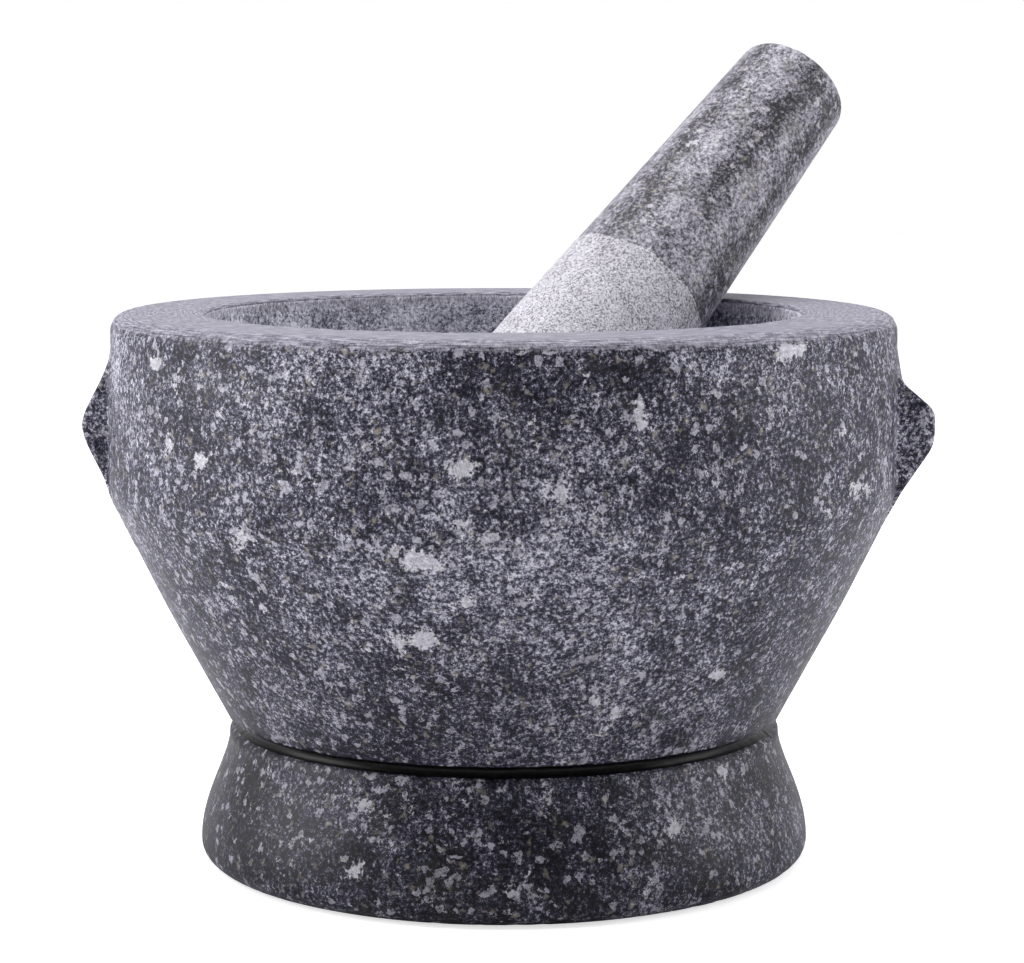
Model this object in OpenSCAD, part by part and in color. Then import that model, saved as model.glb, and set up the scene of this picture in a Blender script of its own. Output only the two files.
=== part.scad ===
// Granite mortar and pestle, at rest with the pestle leaning in the bowl.
// Frame: millimetres, +Z up. The origin is the centre of the flat base, on the mortar's own axis.
// The two lugs lie on the X axis.

/* [Mortar] */
// Height from the base to the flat rim
mortar_h = 140.7; // [135:0.1:150]
// Outer diameter of the rim
rim_d = 200; // [190:0.5:210]
// How far the band below the rim swells beyond the rim's radius
band_swell = 1.2; // [0.2:0.1:2]
// Height of the soft corner where the side wall meets the band
band_z = 96; // [92:0.5:104]
// Radius of that soft corner
band_corner_r = 15; // [6:1:20]
// Rounding of the rim's outer edge
rim_outer_r = 4.5; // [2:0.1:6]
// Rounding of the rim's inner edge
rim_inner_r = 1.5; // [0.8:0.1:3]

/* [Bowl] */
// Inner diameter of the bowl at the rim
bowl_d = 152; // [146:0.5:156]
// Depth of the bowl below the rim
bowl_depth = 96; // [86:0.5:100]
// How much the bowl's wall narrows from the rim to the round bottom, on the radius
bowl_draft = 1; // [0:0.1:3]

/* [Groove] */
// Height of the groove's lower edge, which is the top of the foot
groove_z = 34.6; // [34:0.1:38]
// Width of the groove
groove_w = 2.4; // [1.6:0.1:3.2]
// Depth of the groove
groove_depth = 3; // [2.2:0.1:6]
// Diameter of the side wall just above the groove
waist_d = 142.2; // [134:0.2:150]
// How far the side wall bulges beyond a straight cone, half way up
wall_bulge = 0.8; // [0.1:0.1:1.5]

/* [Foot] */
// Widest diameter of the foot
foot_d = 157.4; // [150:0.2:166]
// Height of the foot's widest place
foot_widest_z = 5; // [3:0.5:8]
// Diameter of the flat base
base_d = 146; // [136:1:150]
// Height at which the foot's flare has died away into its neck
foot_neck_z = 32.5; // [29:0.5:33]

/* [Lugs] */
// Width of a lug
lug_w = 48; // [36:1:56]
// Height at which a lug's top slope leaves the band
lug_top_z = 123.5; // [121:0.5:127]
// Distance from the mortar's axis to the tip of the right-hand lug
right_lug_reach = 107.7; // [104.2:0.1:112]
// Height of the upper corner of the right-hand lug's tip
right_lug_tip_z = 117.5; // [112:0.5:119]
// Height of the right-hand lug's upright end
right_lug_end_h = 8.5; // [2:0.5:10]
// Distance from the mortar's axis to the tip of the left-hand lug
left_lug_reach = 105.2; // [104.2:0.1:112]
// Height of the upper corner of the left-hand lug's tip
left_lug_tip_z = 115; // [112:0.5:119]
// Height of the left-hand lug's upright end
left_lug_end_h = 3.5; // [2:0.5:10]
// Rounding of a lug's corners
lug_corner_r = 2; // [1:0.5:3]

/* [Pestle] */
// Length of the pestle, from its round head to its top
pestle_l = 212.5; // [205:0.5:220]
// Diameter of the round head
head_d = 52.8; // [50:0.2:55]
// Diameter of the shaft at its top edge
top_d = 32.6; // [29:0.2:36]
// Rounding of the shaft's top edge
top_edge_r = 2.2; // [1:0.1:4]
// Rise of the crowned top above its edge
top_crown = 2; // [0.5:0.1:4]
// Length of the rough head, measured from its round end
head_l = 125; // [100:0.5:135]
// How far the rough head stands proud of the honed shaft
shoulder = 0.3; // [0.1:0.1:1]

/* [Pose] */
// Lean of the pestle from upright, in degrees
lean = 49.7; // [46:0.1:52]
// Direction in which the pestle leans, in degrees from +X
lean_dir = 46; // [0:0.5:90]
// Clearance where the resting pestle meets the bowl and the rim
rest_gap = 0.3; // [0.2:0.05:1]

/* [Hidden] */
$fn = 96;
arc_step = 6;
rim_r = rim_d / 2;
bowl_r = bowl_d / 2;
floor_r = bowl_r - bowl_draft;
floor_centre_z = mortar_h - bowl_depth + floor_r;
band_r = rim_r + band_swell;
waist_r = waist_d / 2;
foot_r = foot_d / 2;
base_r = base_d / 2;
groove_top_z = groove_z + groove_w;
lip_r = 0.5;
swell_end_z = lug_top_z + 1.5;
swell_fade_h = 7;

head_r = head_d / 2;
top_r = top_d / 2;
top_z = pestle_l - top_crown;
shaft_line_r = head_r - shoulder;
taper = atan((shaft_line_r - top_r) / (top_z - head_r));
shoulder_l = 1;

// Points of an arc in the (radius, height) plane, from angle a0 to angle a1
function arc(c, r, a0, a1) =
    let (n = max(1, ceil(abs(a1 - a0) / arc_step)))
    [for (i = [0:n]) let (a = a0 + (a1 - a0) * i / n) c + r * [cos(a), sin(a)]];

function unit(v) = v / norm(v);

// One corner of an outline, from p0 by way of p to p1, replaced by an arc of radius r
function corner(p0, p, p1, r) =
    let (
        u = unit(p0 - p),
        v = unit(p1 - p),
        half = acos(u * v) / 2,
        c = p + unit(u + v) * r / sin(half),
        s = p + u * r / tan(half),
        e = p + v * r / tan(half),
        a0 = atan2(s[1] - c[1], s[0] - c[0]),
        a1 = atan2(e[1] - c[1], e[0] - c[0]),
        turn = a1 - a0 - 360 * round((a1 - a0) / 360)
    )
    arc(c, r, a0, a0 + turn);

// An outline whose points are [radius, height, rounding]; a rounding of 0 keeps the corner sharp
function rounded(pts) =
    let (n = len(pts), at = function (i) [pts[(i + n) % n][0], pts[(i + n) % n][1]])
    [for (i = [0:n - 1])
        each (pts[i][2] > 0 ? corner(at(i - 1), at(i), at(i + 1), pts[i][2]) : [at(i)])];

// Radius of the foot: it flares from its neck down to its widest place as a power of a cosine
flare_power = 1.5;
function foot_radius(z) =
    let (t = (z - foot_widest_z) / (foot_neck_z - foot_widest_z))
    waist_r + (foot_r - waist_r) * pow(cos(90 * t), flare_power);

// Lower edge of the foot: a quarter of an ellipse from the flat base to the widest place
function base_edge(a) =
    [base_r + (foot_r - base_r) * sin(a), foot_widest_z * (1 - cos(a))];

// The mortar's half section, anticlockwise from the middle of its base
function mortar_section() = concat(
    [[0, 0]],
    [for (a = [0:10:90]) base_edge(a)],
    [for (i = [1:9])
        let (z = foot_widest_z + (foot_neck_z - foot_widest_z) * i / 10)
        [foot_radius(z), z]],
    upper_section());

mid_wall = [(waist_r + band_r) / 2 + wall_bulge, (groove_top_z + band_z) / 2];
wall_bend_r = 400;

function upper_section() =
    let (
        groove_r = 0.49 * groove_w,
        pts = [
            [waist_r, foot_neck_z, 0],
            [waist_r, groove_z, lip_r],
            [waist_r - groove_depth, groove_z, groove_r],
            [waist_r - groove_depth, groove_top_z, groove_r],
            [waist_r, groove_top_z, lip_r],
            [mid_wall[0], mid_wall[1], wall_bend_r],
            [band_r, band_z, band_corner_r],
            [band_r, swell_end_z, 6],
            [rim_r, swell_end_z + swell_fade_h, 6],
            [rim_r, mortar_h, rim_outer_r],
            [bowl_r, mortar_h, rim_inner_r],
            [floor_r, floor_centre_z, 0]
        ],
        n = len(pts),
        at = function (i) [pts[i][0], pts[i][1]]
    )
    concat(
        [at(0)],
        [for (i = [1:n - 2]) each corner(at(i - 1), at(i), at(i + 1), pts[i][2])],
        [for (a = [0:arc_step:90]) [floor_r * cos(a), floor_centre_z - floor_r * sin(a)]]);

// A lug's side view, from inside the wall out to its tip
lug_root_r = 80;
lug_foot = [band_r - 7, band_z - 7];
module lug_side(reach, tip_z, end_h) {
    polygon(rounded([
        [lug_root_r, lug_top_z, 0],
        [band_r - 0.5, lug_top_z, 0],
        [reach, tip_z, lug_corner_r],
        [reach, tip_z - end_h, lug_corner_r],
        [lug_foot[0], lug_foot[1], 0],
        [lug_root_r, lug_foot[1], 0]
    ]));
}

// A lug seen from above: flat cheeks, with the two corners of the tip rounded
module lug_plan(reach) {
    polygon(rounded([
        [lug_root_r, -lug_w / 2, 0],
        [reach, -lug_w / 2, lug_corner_r],
        [reach, lug_w / 2, lug_corner_r],
        [lug_root_r, lug_w / 2, 0]
    ]));
}

module lug(reach, tip_z, end_h) {
    intersection() {
        rotate([90, 0, 0])
            linear_extrude(height = lug_w + 2, center = true)
                lug_side(reach, tip_z, end_h);
        linear_extrude(height = mortar_h)
            lug_plan(reach);
    }
}

// The mortar: foot, groove, wall, band, rim, bowl and lugs, all cut from one block of stone
module mortar() {
    color("dimgray")
        union() {
            rotate_extrude()
                polygon(mortar_section());
            lug(right_lug_reach, right_lug_tip_z, right_lug_end_h);
            rotate([0, 0, 180])
                lug(left_lug_reach, left_lug_tip_z, left_lug_end_h);
        }
}

// Radius at height h of the cone that is tangent to a ball of radius r in the pestle's head
function cone_radius(r, h) = r / cos(taper) - (h - head_r) * tan(taper);

// The pestle standing on its head: a round end, a long taper, a faint shoulder and a crowned top
module pestle_upright() {
    crown_half = top_r - top_edge_r;
    crown_r = (pow(crown_half, 2) + pow(top_crown, 2)) / (2 * top_crown);
    crown_a = asin(crown_half / crown_r);
    head_arc = arc([0, head_r], head_r, -90, taper);
    edge_arc = arc([top_r - top_edge_r, top_z - top_edge_r], top_edge_r, taper, 90 - crown_a);
    crown_arc = arc([0, pestle_l - crown_r], crown_r, 90 - crown_a, 90);
    head_end = [cone_radius(head_r, head_l), head_l];
    shaft_start = [cone_radius(shaft_line_r, head_l + shoulder_l), head_l + shoulder_l];
    rotate_extrude()
        polygon(concat(head_arc, [head_end, shaft_start], edge_arc, crown_arc));
}

// Where the leaning pestle's head comes to rest, in the upright plane of its lean.
// Its shaft lies on the rounded rim edge, and its round head lies on the round floor of the bowl.
under = lean - taper;
under_dir = [sin(under), cos(under)];
under_normal = [cos(under), -sin(under)];
rim_edge = [bowl_r + rim_inner_r, mortar_h - rim_inner_r];
floor_centre = [0, floor_centre_z];
head_free = floor_r - head_r - rest_gap;
side_off = under_normal * rim_edge - (shaft_line_r + rim_inner_r + rest_gap);
drop = sqrt(pow(head_free, 2) - pow(side_off - under_normal * floor_centre, 2));
head_centre = under_normal * side_off + under_dir * (under_dir * floor_centre - drop);

module pestle() {
    color("darkgray")
        rotate([0, 0, lean_dir])
            translate([head_centre[0], 0, head_centre[1]])
                rotate([0, lean, 0])
                    translate([0, 0, -head_r])
                        pestle_upright();
}

mortar();
pestle();
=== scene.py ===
import math
import bpy
import numpy as np
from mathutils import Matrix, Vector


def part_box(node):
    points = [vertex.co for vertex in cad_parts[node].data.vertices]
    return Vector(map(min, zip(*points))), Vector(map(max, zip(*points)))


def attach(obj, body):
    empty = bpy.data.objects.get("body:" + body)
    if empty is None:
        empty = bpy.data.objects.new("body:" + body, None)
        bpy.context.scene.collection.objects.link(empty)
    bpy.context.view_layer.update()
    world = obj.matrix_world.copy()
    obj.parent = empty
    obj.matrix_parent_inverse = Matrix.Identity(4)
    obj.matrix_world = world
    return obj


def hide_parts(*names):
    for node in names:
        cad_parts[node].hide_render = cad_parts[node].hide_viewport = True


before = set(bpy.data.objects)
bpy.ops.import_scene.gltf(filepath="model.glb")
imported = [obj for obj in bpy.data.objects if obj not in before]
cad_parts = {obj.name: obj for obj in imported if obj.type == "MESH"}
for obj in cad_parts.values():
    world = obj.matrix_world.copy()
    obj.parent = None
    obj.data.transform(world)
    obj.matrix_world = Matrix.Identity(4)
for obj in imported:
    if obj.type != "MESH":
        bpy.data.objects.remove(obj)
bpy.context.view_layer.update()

mm = 0.001


# An sRGB hex colour turned into linear light, with an alpha of 1.
def linearHex(text):
    srgb = np.array([int(text[i:i + 2], 16) for i in (1, 3, 5)]) / 255
    linear = np.where(srgb <= 0.04045, srgb / 12.92, ((srgb + 0.055) / 1.055) ** 2.4)
    return (*linear.tolist(), 1.0)


# Value noise: a random number at every corner of a cubic lattice, blended between corners with
# the smooth step 3t^2 - 2t^3, for an array of points; about -1 to 1.
def latticeNoise(points, cell, seed):
    scaled = points / cell + 1000.5
    base = np.floor(scaled).astype(np.int64)
    blend = scaled - base
    blend = blend * blend * (3 - 2 * blend)
    total = np.zeros(points.shape[:-1])
    for corner in range(8):
        step = np.array([corner & 1, corner >> 1 & 1, corner >> 2 & 1])
        key = base + step
        mixed = (key[..., 0] * 73856093) ^ (key[..., 1] * 19349663)
        mixed = mixed ^ (key[..., 2] * 83492791) ^ (seed * 2654435761)
        mixed = (mixed ^ (mixed >> 13)) * 1274126177 & 0xFFFFFFFF
        mixed = (mixed ^ (mixed >> 15)) * 2246822519 & 0xFFFFFFFF
        value = (mixed ^ (mixed >> 16)) / 0xFFFFFFFF * 2 - 1
        weight = np.prod(np.where(step == 1, blend, 1 - blend), axis=-1)
        total += value * weight
    return total


# Several lattices on top of each other, each half the size and about half the strength of the last.
def roughNoise(points, cell, seed, octaves=3, fade=0.55):
    total = np.zeros(points.shape[:-1])
    strength, weightSum = 1.0, 0.0
    for octave in range(octaves):
        total += strength * latticeNoise(points, cell / 2 ** octave, seed + octave)
        weightSum += strength
        strength *= fade
    return total / weightSum


# 0 below the low edge, 1 above the high edge, and 3t^2 - 2t^3 between.
def smoothStep(value, low, high):
    t = np.clip((value - low) / (high - low), 0, 1)
    return t * t * (3 - 2 * t)


# The larger of two surfaces with a fillet of about the given size where they cross.
def softMax(a, b, size):
    h = np.clip(0.5 + 0.5 * (a - b) / size, 0, 1)
    return b + (a - b) * h + size * h * (1 - h)


def softMin(a, b, size):
    return -softMax(-a, -b, size)


# A profile through (radius, height) corners: each corner with a rounding becomes an arc tangent
# to both of its sides, drawn with the given number of points.
def roundedProfile(corners, arcPoints=16):
    corners = np.array(corners, float)
    xy, rounding = corners[:, :2], corners[:, 2]
    out = [xy[0]]
    for before, here, after, radius in zip(xy[:-2], xy[1:-1], xy[2:], rounding[1:-1]):
        u = (before - here) / np.linalg.norm(before - here)
        v = (after - here) / np.linalg.norm(after - here)
        half = math.acos(float(np.clip(u @ v, -1, 1))) / 2
        if radius <= 0 or half > math.pi / 2 - 1e-4:
            out.append(here)
            continue
        reach = radius / math.tan(half)
        centre = here + (u + v) / np.linalg.norm(u + v) * radius / math.sin(half)
        first, last = here + u * reach - centre, here + v * reach - centre
        start = math.atan2(first[1], first[0])
        turn = (math.atan2(last[1], last[0]) - start + math.pi) % (2 * math.pi) - math.pi
        angles = start + turn * np.linspace(0, 1, arcPoints)
        out.extend(centre + radius * np.stack([np.cos(angles), np.sin(angles)], -1))
    out.append(xy[-1])
    return np.array(out)


# A profile resampled along its length, with the spacing at each place given by a function of
# (radius, height); the count of points follows from the spacing.
def resampleProfile(profile, spacingAt):
    fineCount = 6000
    length = np.concatenate([[0], np.cumsum(np.linalg.norm(np.diff(profile, axis=0), axis=1))])
    fine = np.linspace(0, length[-1], fineCount)
    radius, height = (np.interp(fine, length, profile[:, k]) for k in (0, 1))
    density = 1 / spacingAt(radius, height)
    steps = np.concatenate([[0], np.cumsum((density[1:] + density[:-1]) / 2 * np.diff(fine))])
    count = int(round(steps[-1])) + 1
    along = np.interp(np.linspace(0, steps[-1], count), steps, fine)
    return np.interp(along, fine, radius), np.interp(along, fine, height), along


# The full distance round, from the distances of the columns, which stop one step short of it.
def uvTurn(roundWay):
    return (roundWay[-1] - roundWay[0]) * len(roundWay) / (len(roundWay) - 1)


# A closed mesh from a grid of points (row, column): columns run once round and join up, and the
# first and last rows are single points at the poles. Faces point to the left of the row's way.
def meshFromRows(name, rows, poleStart, poleEnd, uv, faceSlots):
    rowCount, columnCount = rows.shape[:2]
    points = np.concatenate([rows.reshape(-1, 3), [poleStart, poleEnd]])
    row, column = np.meshgrid(np.arange(rowCount - 1), np.arange(columnCount), indexing="ij")
    after = (column + 1) % columnCount
    quads = np.stack([row * columnCount + column, row * columnCount + after,
                      (row + 1) * columnCount + after, (row + 1) * columnCount + column], -1).reshape(-1, 4)
    around = np.arange(columnCount)
    following = (around + 1) % columnCount
    startPole, endPole = len(points) - 2, len(points) - 1
    lastRow = (rowCount - 1) * columnCount
    startFan = np.stack([np.full(columnCount, startPole), following, around], -1)
    endFan = np.stack([np.full(columnCount, endPole), lastRow + around, lastRow + following], -1)
    loops = np.concatenate([startFan.ravel(), quads.ravel(), endFan.ravel()])
    sizes = np.concatenate([np.full(columnCount, 3), np.full(len(quads), 4), np.full(columnCount, 3)])
    starts = np.concatenate([[0], np.cumsum(sizes)[:-1]])

    mesh = bpy.data.meshes.new(name)
    mesh.vertices.add(len(points))
    mesh.vertices.foreach_set("co", points.astype(np.float32).ravel())
    mesh.loops.add(len(loops))
    mesh.loops.foreach_set("vertex_index", loops.astype(np.int32))
    mesh.polygons.add(len(sizes))
    mesh.polygons.foreach_set("loop_start", starts.astype(np.int32))
    mesh.update(calc_edges=True)
    mesh.polygons.foreach_set("use_smooth", np.ones(len(sizes), bool))
    slots = np.concatenate([np.full(columnCount, faceSlots[0]), np.repeat(faceSlots, columnCount),
                            np.full(columnCount, faceSlots[-1])])
    mesh.polygons.foreach_set("material_index", slots.astype(np.int32))

    # The unrolled surface: distance round and distance along, in metres, with no jump at the seam.
    roundWay, alongWay = uv
    roundWay = np.append(roundWay, roundWay[0] + uvTurn(roundWay))
    quadUv = np.stack([
        np.stack([roundWay[column], alongWay[row]], -1),
        np.stack([roundWay[column + 1], alongWay[row]], -1),
        np.stack([roundWay[column + 1], alongWay[row + 1]], -1),
        np.stack([roundWay[column], alongWay[row + 1]], -1),
    ], -2).reshape(-1, 2)
    near, far = roundWay[:-1], roundWay[1:]
    middle = (near + far) / 2
    first, last = np.full(columnCount, alongWay[0]), np.full(columnCount, alongWay[-1])
    startUv = np.stack([np.stack([middle, np.zeros(columnCount)], -1), np.stack([far, first], -1),
                        np.stack([near, first], -1)], 1).reshape(-1, 2)
    endUv = np.stack([np.stack([middle, last], -1), np.stack([near, last], -1),
                      np.stack([far, last], -1)], 1).reshape(-1, 2)
    layer = mesh.uv_layers.new(name="unrolled")
    layer.data.foreach_set("uv", np.concatenate([startUv, quadUv, endUv]).astype(np.float32).ravel())
    mesh.validate()
    piece = bpy.data.objects.new(name, mesh)
    bpy.context.collection.objects.link(piece)
    return piece


def addAttribute(piece, name, values):
    layer = piece.data.attributes.new(name=name, type="FLOAT", domain="POINT")
    layer.data.foreach_set("value", values.astype(np.float32))


mortarLow, mortarHigh = (np.array(corner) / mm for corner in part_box("mortar"))

mortarShape = {
    "height": mortarHigh[2],
    "rimRadius": 100.0,
    "bandSwell": 1.2,
    "bandHeight": 96.0,
    "bandCorner": 15.0,
    "rimOuterRounding": 4.5,
    "rimInnerRounding": 1.5,
    "swellAboveLug": 1.5,
    "swellFade": 7.0,
    "swellRounding": 6.0,
    "bowlRadius": 76.0,
    "bowlDepth": 96.0,
    "bowlDraft": 1.0,
    "grooveHeight": 34.6,
    "grooveWidth": 2.4,
    "grooveDepth": 3.0,
    "lipRounding": 0.5,
    "waistRadius": 71.1,
    "wallBulge": 0.8,
    "wallBend": 400.0,
    "footRadius": 78.7,
    "footWidestHeight": 5.0,
    "footNeckHeight": 32.5,
    "footFlarePower": 1.5,
    "baseRadius": 73.0,
    "lugWidth": 48.0,
    "lugTop": 123.5,
    "lugFoot": 89.0,
    "lugTopInset": 0.5,
    "lugFootInset": 7.0,
    # Each lug was cut by eye: its reach from the axis, and the top and bottom of its upright end.
    "rightLug": (mortarHigh[0], 117.5, 109.0),
    "leftLug": (-mortarLow[0], 115.0, 111.5),
    "lugCorner": 2.0,
    "lugFillet": 2.0,
    # Relief that cuts into the stone: its depth, and the size of the noise that shapes it.
    "edgeChips": (0.7, 4.0),
    "innerChips": (0.7, 2.2),
    "wallWaves": (0.22, 34.0),
    "wallRipples": (0.08, 5.0),
    "bowlPits": (0.30, 3.2),
    "footChipShare": 0.8,
    "lipChipDepth": 0.45,
    # Spacing of the mesh's rows, and the columns round it with the extra ones at each lug's cheek.
    "spacing": {"wall": 1.7, "base": 14.0, "footEdge": 0.8, "groove": 0.42, "lugs": 1.1, "rimOuter": 0.65,
                "rimInner": 0.5, "bowl": 2.2},
    "columns": 372,
    "extraColumns": 16,
}


# Half section of the mortar from the middle of its base, out round the foot, up the wall, over
# the rim and down to the middle of the bowl: straight sides and arcs, a quarter ellipse at the
# base, and a foot that flares as a cosine to a power.
def mortarProfile(s):
    top, floorRadius = s["height"], s["bowlRadius"] - s["bowlDraft"]
    floorCentre = top - s["bowlDepth"] + floorRadius
    bandRadius = s["rimRadius"] + s["bandSwell"]
    grooveTop = s["grooveHeight"] + s["grooveWidth"]
    grooveFloor = s["waistRadius"] - s["grooveDepth"]
    swellEnd = s["lugTop"] + s["swellAboveLug"]
    angle = np.radians(np.linspace(0, 90, 20))
    edge = np.stack([s["baseRadius"] + (s["footRadius"] - s["baseRadius"]) * np.sin(angle),
                     s["footWidestHeight"] * (1 - np.cos(angle))], -1)
    t = np.linspace(0, 1, 40)[1:]
    flare = np.cos(np.pi / 2 * t).clip(0) ** s["footFlarePower"]
    foot = np.stack([s["waistRadius"] + (s["footRadius"] - s["waistRadius"]) * flare,
                     s["footWidestHeight"] + (s["footNeckHeight"] - s["footWidestHeight"]) * t], -1)
    middle = ((s["waistRadius"] + bandRadius) / 2 + s["wallBulge"], (grooveTop + s["bandHeight"]) / 2)
    upper = roundedProfile([
        (s["waistRadius"], s["footNeckHeight"], 0),
        (s["waistRadius"], s["grooveHeight"], s["lipRounding"]),
        (grooveFloor, s["grooveHeight"], s["grooveWidth"] * 0.49),
        (grooveFloor, grooveTop, s["grooveWidth"] * 0.49),
        (s["waistRadius"], grooveTop, s["lipRounding"]),
        (*middle, s["wallBend"]),
        (bandRadius, s["bandHeight"], s["bandCorner"]),
        (bandRadius, swellEnd, s["swellRounding"]),
        (s["rimRadius"], swellEnd + s["swellFade"], s["swellRounding"]),
        (s["rimRadius"], top, s["rimOuterRounding"]),
        (s["bowlRadius"], top, s["rimInnerRounding"]),
        (floorRadius, floorCentre, 0),
    ])
    down = np.radians(np.linspace(0, 89, 80))[1:]
    bowl = np.stack([floorRadius * np.cos(down), floorCentre - floorRadius * np.sin(down)], -1)
    flat = np.array([(12.0, 0.0), (40.0, 0.0)])
    return np.concatenate([flat, edge, foot, upper[1:], bowl]), floorCentre


# Spacing of the rows in millimetres: fine at edges, at the groove and at the lugs, wide on flats.
def mortarSpacing(s):
    grooveMiddle = s["grooveHeight"] + s["grooveWidth"] / 2
    step = s["spacing"]
    innerEdge = s["height"] - 3.5

    def spacingAt(radius, height):
        spacing = np.full_like(radius, step["wall"])
        inside = radius < s["bowlRadius"] + 0.01
        underneath = (height < 0.01) & (radius < s["baseRadius"] - 1)
        footEdge = (height < s["footWidestHeight"]) & (radius > s["baseRadius"] - 1)
        lugs = (height > s["lugFoot"] - 1) & (height < s["lugTop"] + 3)
        nearTop = height > s["height"] - s["rimOuterRounding"] - 0.5
        spacing = np.where(underneath, step["base"], spacing)
        spacing = np.where(footEdge, step["footEdge"], spacing)
        spacing = np.where(np.abs(height - grooveMiddle) < 3.2, step["groove"], spacing)
        spacing = np.where(lugs, step["lugs"], spacing)
        spacing = np.where(nearTop & (radius > s["rimRadius"] - 7), step["rimOuter"], spacing)
        spacing = np.where((height > innerEdge) & (radius < s["bowlRadius"] + 2.5), step["rimInner"], spacing)
        return np.where(inside & (height < innerEdge), step["bowl"], spacing)

    return spacingAt


# Angles round the mortar, closer together where a lug's cheeks cross the wall: the running sum of
# a density with a bump at each cheek, read backwards at even steps.
def mortarAngles(s):
    cheek = math.asin(s["lugWidth"] / 2 / (s["rimRadius"] + 4))
    cheeks = [cheek, math.pi - cheek, math.pi + cheek, 2 * math.pi - cheek]
    fine = np.linspace(0, 2 * math.pi, 20001)
    spread = math.radians(1.1)
    density = np.full_like(fine, s["columns"] / (2 * math.pi))
    for place in cheeks:
        density += s["extraColumns"] / (spread * math.sqrt(math.pi)) * np.exp(-((fine - place) / spread) ** 2)
    total = np.concatenate([[0], np.cumsum((density[1:] + density[:-1]) / 2 * np.diff(fine))])
    count = int(round(total[-1]))
    return np.interp(np.arange(count) / count * total[-1], total, fine)


# Distance of a lug's surface from the axis, along a ray at each angle and height: its side view
# gives x, x over the cosine is the ray's length, and a flat cheek cuts it at half the width.
def lugRadius(s, angle, height):
    bandRadius = s["rimRadius"] + s["bandSwell"]
    reach, tipHigh, tipLow = (np.where(np.cos(angle) > 0, right, left)
                              for right, left in zip(s["rightLug"], s["leftLug"]))
    topRun = reach - bandRadius + s["lugTopInset"]
    lowRun = reach - bandRadius + s["lugFootInset"]
    topSlope = reach - (height - tipHigh) * topRun / (s["lugTop"] - tipHigh)
    lowSlope = reach - (tipLow - height) * lowRun / (tipLow - s["lugFoot"])
    side = softMin(softMin(topSlope, reach - 0.05, s["lugCorner"]), lowSlope, s["lugCorner"])
    nearest = np.abs((angle + math.pi / 2) % math.pi - math.pi / 2)
    end = side / np.cos(nearest)
    cheek = s["lugWidth"] / 2 / np.sin(np.maximum(nearest, 0.05))
    within = (height > s["lugFoot"] - 6) & (height < s["lugTop"] + 6) & (nearest < 0.6)
    return np.where(within, softMin(end, cheek, s["lugCorner"]), 0)


# What the stone shows by chance on its front: (degrees round from the front, height,
# half width, half height) in millimetres, for the large pale feldspars, and with a strength for the
# broad zones, which are darker above 0 and greyer below 0.
mortarMarks = {
    "feldspars": [
        (-54, 132, 3.6, 1.9), (-50, 114, 1.7, 3.0), (-43, 110, 2.8, 2.6), (-39, 122, 2.2, 1.8),
        (-36, 94, 4.0, 3.6), (-26, 110, 1.7, 1.4), (-12, 70, 8.5, 3.4), (-10, 91, 6.8, 4.0),
        (-4, 112, 3.6, 3.4), (-4, 81, 2.2, 2.0), (-4, 100, 2.6, 2.0), (-1, 77, 2.6, 1.6),
        (8, 106, 3.8, 3.4), (0, 97, 3.4, 1.8), (2, 87, 2.6, 2.0), (5, 121, 1.8, 2.4),
        (11, 41, 3.2, 1.4), (17, 55, 2.0, 2.0), (19, 123, 2.1, 4.0), (21, 51, 2.4, 1.8),
        (26, 85, 2.4, 2.0), (39, 59, 3.4, 1.7), (42, 136, 8.0, 2.2), (51, 97, 2.6, 2.2),
        (58, 102, 4.0, 3.2), (-26, 27, 3.0, 2.4), (-25, 12, 2.6, 1.8), (3, 9, 2.0, 2.0),
        (10, 30, 1.8, 1.7), (26, 33, 1.8, 1.6), (35, 21, 2.6, 2.3), (50, 31, 2.6, 2.6),
    ],
    "zones": [
        (-57, 134, 14, 6, 1.0), (7, 130, 17, 9, 1.0), (58, 118, 20, 16, 0.7), (-25, 129, 26, 9, -0.9),
        (32, 131, 12, 6, -0.5), (-50, 20, 20, 16, 0.6), (12, 18, 18, 16, 0.8), (68, 20, 14, 14, 0.7),
        (-16, 20, 14, 14, -0.5), (33, 25, 14, 12, -0.5),
    ],
}


# A field of soft spots on the mortar: e to the minus squared distance from each spot's middle, in
# its own half sizes, times the spot's strength.
def spotField(theta, radius, height, spots):
    field = np.zeros(theta.shape)
    for degrees, middle, halfWidth, halfHeight, strength in spots:
        turned = (theta + math.pi / 2 - math.radians(degrees) + math.pi) % (2 * math.pi) - math.pi
        spot = strength * np.exp(-(turned * radius / halfWidth) ** 2 - ((height - middle) / halfHeight) ** 2)
        field = np.where(np.abs(spot) > np.abs(field), spot, field)
    return field


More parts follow.
